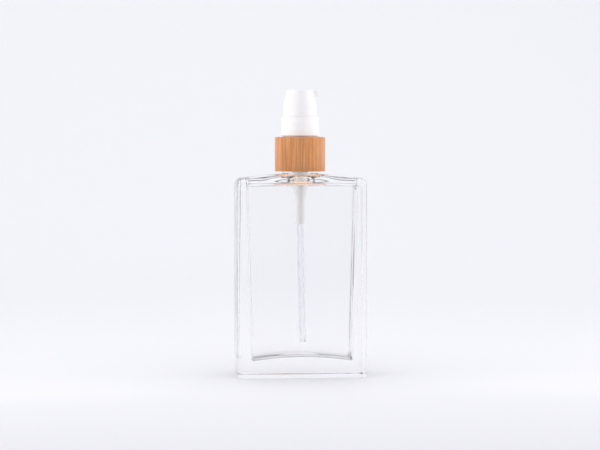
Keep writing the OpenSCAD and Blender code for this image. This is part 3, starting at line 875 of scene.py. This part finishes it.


# Foamed polyethylene sheet, die cut: milky white with tiny closed cells, and a painted warm glow, the
# closure's bounce light.
def foamedPolyethylene():
    made, tree = newMaterial("polyethyleneFoamedSheet")
    where = addNode(tree, "ShaderNodeTexCoord").outputs["Object"]
    cells = addNode(tree, "ShaderNodeTexVoronoi", {"Scale": 1 / (seals["cell"] * mm)}, {"Vector": where})
    tone = addNode(tree, "ShaderNodeValToRGB", links={"Fac": cells.outputs["Distance"]})
    tone.color_ramp.elements[0].color = linear(seals["foamDark"])
    tone.color_ramp.elements[1].color = linear(seals["foamPale"])
    relief = addNode(tree, "ShaderNodeBump", {"Strength": 0.3, "Distance": 0.02 * mm},
                     {"Height": cells.outputs["Distance"]})
    # painted light: emission in the closure's peach bounce tint
    body = addNode(tree, "ShaderNodeBsdfPrincipled",
                   {"Roughness": 0.6, "Emission Color": linear(plastic["sleeved"]),
                    "Emission Strength": plastic["glow"]},
                   {"Base Color": tone.outputs["Color"], "Normal": relief.outputs["Normal"]})
    return finishMaterial(made, body.outputs[0])


naturalPlastic = mouldedPlastic("polypropyleneNaturalMoulded", plastic["natural"],
                                plastic["naturalRough"], plastic["naturalDepth"])
softPlastic = mouldedPlastic("polyethyleneMouldedSoft", plastic["soft"],
                             plastic["softRough"], plastic["softDepth"])
# painted warm bounce light: the closure gets a peach colour and a glow in place of light bounced about
# inside the bamboo
sleevedPlastic = mouldedPlastic("polypropyleneMouldedBounceGlow", plastic["sleeved"],
                                plastic["naturalRough"], plastic["naturalDepth"], plastic["glow"])
finishes = {
    "screw_closure": sleevedPlastic, "pump_housing": whitePlastic,
    "retaining_ring": naturalPlastic, "pump_stem": naturalPlastic, "piston_rod": naturalPlastic,
    "piston": softPlastic, "stem_seal": mouldedNitrile(), "neck_gasket": foamedPolyethylene(),
    "check_ball": steel,
}
for name, material in finishes.items():
    nodes[name].data.materials.clear()
    nodes[name].data.materials.append(material)
print("inner pieces finished")


studio = {
    "paper": "#F9F9FB",
    "tooth": 1.2,  # mm, grain of the sheet
    "airFilm": 0.05,  # mm of air between the glass foot and the paper
    "floorDepth": 2.4, "curveStart": 1.1, "curveRadius": 0.6, "halfWidth": 6.0, "height": 2.0,
    "paintedLightBand": 0.035, "paintedLightAt": -0.05, "paintedLightWidth": 0.068,  # m, painted light: a paler band of paper just before the foot
    "nearFrom": -0.32, "nearTo": -0.06, "paintedNearShade": 0.93,  # m, painted shade: the sheet darkens toward the camera
    "sky": "#FAFAFF", "skyStrength": 0.92,
    "frontShade": 0.9, "frontEnd": -0.55,  # the sky is dimmer on the camera's side
    "sideShade": 0.05, "sideFrom": 0.45, "sideTo": 0.95,  # and to the left and right
    "stripPower": 0.42, "stripSize": (0.2, 0.3), "stripAway": 1.0, "stripForward": 0.1,
    "stripHeight": 0.17, "stripAim": (0, 0, 0.12),
    "stripSpread": 60.0,  # degrees, a gridded box, so that little of it falls on the paper
    "washPower": 3.1, "washSize": (1.8, 0.5), "washAt": (0, 0.7, 1.5), "washAim": (0, 1.6, 0.25),
}


# Matt backdrop paper: almost white, with the faint tooth of the sheet, a painted band of light before the
# foot and painted shade toward the camera.
def backdropPaper():
    s = studio
    made, tree = newMaterial("paperBackdropMatt")
    where = addNode(tree, "ShaderNodeTexCoord").outputs["Object"]
    tooth = addNode(tree, "ShaderNodeTexNoise", {"Scale": 1 / (s["tooth"] * mm), "Detail": 2.0},
                    {"Vector": where})
    tone = addNode(tree, "ShaderNodeMapRange", {"To Min": 0.99, "To Max": 1.0},
                   {"Value": tooth.outputs["Fac"]})
    depth = addNode(tree, "ShaderNodeSeparateXYZ", links={0: where}).outputs["Y"]
    # painted light: the paper is made paler in a band just before the foot
    away = addNode(tree, "ShaderNodeMath", {"operation": "SUBTRACT", 1: s["paintedLightAt"]}, {0: depth})
    wide = addNode(tree, "ShaderNodeMath", {"operation": "ABSOLUTE"}, {0: away.outputs[0]})
    band = addNode(tree, "ShaderNodeMapRange",
                   {"From Min": 0.0, "From Max": s["paintedLightWidth"], "To Min": 1 + s["paintedLightBand"],
                    "To Max": 1.0, "interpolation_type": "SMOOTHSTEP"}, {"Value": wide.outputs[0]})
    # painted shade: the paper darkens toward the camera
    near = addNode(tree, "ShaderNodeMapRange",
                   {"From Min": s["nearFrom"], "From Max": s["nearTo"], "To Min": s["paintedNearShade"],
                    "To Max": 1.0, "interpolation_type": "SMOOTHSTEP"}, {"Value": depth})
    toned = addNode(tree, "ShaderNodeMath", {"operation": "MULTIPLY"},
                    {0: tone.outputs[0], 1: band.outputs[0]})
    total = addNode(tree, "ShaderNodeMath", {"operation": "MULTIPLY"},
                    {0: toned.outputs[0], 1: near.outputs[0]})
    shade = addNode(tree, "ShaderNodeVectorMath", {"operation": "SCALE", 0: linear(s["paper"])[:3]},
                    {"Scale": total.outputs[0]})
    body = addNode(tree, "ShaderNodeBsdfPrincipled", {"Roughness": 0.9, "Specular IOR Level": 0.2},
                   {"Base Color": shade.outputs[0]})
    return finishMaterial(made, body.outputs[0])


def buildBackdrop():
    s = studio
    start, radius = s["curveStart"], s["curveRadius"]
    outline = [(-s["floorDepth"], 0.0), (start, 0.0)]
    for i in range(1, 17):
        a = quarterTurn * i / 16
        outline.append((start + radius * math.sin(a), radius * (1 - math.cos(a))))
    outline.append((start + radius, s["height"]))
    points, faces = [], []
    for y, z in outline:
        points += [(side * s["halfWidth"] / mm, y / mm, z / mm - s["airFilm"]) for side in (-1, 1)]
    for i in range(len(outline) - 1):
        faces.append((2 * i, 2 * i + 1, 2 * i + 3, 2 * i + 2))
    piece = meshObject("backdrop", points, faces)
    piece.data.materials.append(backdropPaper())


def buildWorld():
    s = studio
    world = bpy.data.worlds.new("studioSky")
    bpy.context.scene.world = world
    world.use_nodes = True
    tree = world.node_tree
    tree.nodes.clear()
    where = addNode(tree, "ShaderNodeTexCoord").outputs["Generated"]
    facing = addNode(tree, "ShaderNodeSeparateXYZ", links={0: where})
    shade = addNode(tree, "ShaderNodeMapRange",
                    {"From Min": -1.0, "From Max": s["frontEnd"], "To Min": s["frontShade"], "To Max": 1.0,
                     "interpolation_type": "SMOOTHSTEP"}, {"Value": facing.outputs["Y"]})
    across = addNode(tree, "ShaderNodeMath", {"operation": "ABSOLUTE"}, {0: facing.outputs["X"]})
    ends = addNode(tree, "ShaderNodeMapRange",
                   {"From Min": s["sideFrom"], "From Max": s["sideTo"], "To Min": 0.0,
                    "To Max": -s["sideShade"], "interpolation_type": "SMOOTHSTEP"},
                   {"Value": across.outputs[0]})
    both = addNode(tree, "ShaderNodeMath", {"operation": "ADD"}, {0: shade.outputs[0], 1: ends.outputs[0]})
    colour = addNode(tree, "ShaderNodeVectorMath", {"operation": "SCALE", 0: linear(s["sky"])[:3]},
                     {"Scale": both.outputs[0]})
    light = addNode(tree, "ShaderNodeBackground", {"Strength": s["skyStrength"]},
                    {"Color": colour.outputs[0]})
    output = addNode(tree, "ShaderNodeOutputWorld")
    tree.links.new(light.outputs[0], output.inputs["Surface"])


# A lamp that lights the object but doesn't show itself, seen straight, in reflections or through glass.
def softbox(name, where, aim, size, power):
    data = bpy.data.lights.new(name, "AREA")
    data.shape, data.size, data.size_y = "RECTANGLE", size[0], size[1]
    data.energy = power
    lamp = bpy.data.objects.new(name, data)
    lamp.location = where
    lamp.rotation_mode = "QUATERNION"
    lamp.rotation_quaternion = (Vector(aim) - Vector(where)).to_track_quat("-Z", "Y")
    lamp.visible_camera = False
    lamp.visible_transmission = False
    lamp.visible_glossy = False
    bpy.context.scene.collection.objects.link(lamp)
    return lamp


def buildLamps():
    s = studio
    for side, tag in ((-1, "Left"), (1, "Right")):
        where = (side * s["stripAway"], -s["stripForward"], s["stripHeight"])
        strip = softbox("strip" + tag, where, s["stripAim"], s["stripSize"], s["stripPower"])
        strip.data.spread = math.radians(s["stripSpread"])
    softbox("backdropWash", s["washAt"], s["washAim"], s["washSize"], s["washPower"])


buildBackdrop()
buildWorld()
buildLamps()

view = {"distance": 0.9, "height": 0.111, "aimHeight": 0.0717, "turn": -5.0, "lens": 113.0}
turn = math.radians(view["turn"])
camera = bpy.data.objects.new("camera", bpy.data.cameras.new("camera"))
camera.data.lens = view["lens"]
camera.data.sensor_width = 36
camera.location = (view["distance"] * math.sin(turn), -view["distance"] * math.cos(turn), view["height"])
camera.rotation_mode = "QUATERNION"
aim = Vector((0, 0, view["aimHeight"]))
camera.rotation_quaternion = (aim - camera.location).to_track_quat("-Z", "Y")
bpy.context.scene.collection.objects.link(camera)
scene = bpy.context.scene
scene.camera = camera
scene.view_settings.view_transform = "Standard"
scene.cycles.max_bounces = 24
scene.cycles.transmission_bounces = 20
scene.cycles.glossy_bounces = 8
scene.cycles.diffuse_bounces = 6
scene.cycles.transparent_max_bounces = 24
print("studio ready")
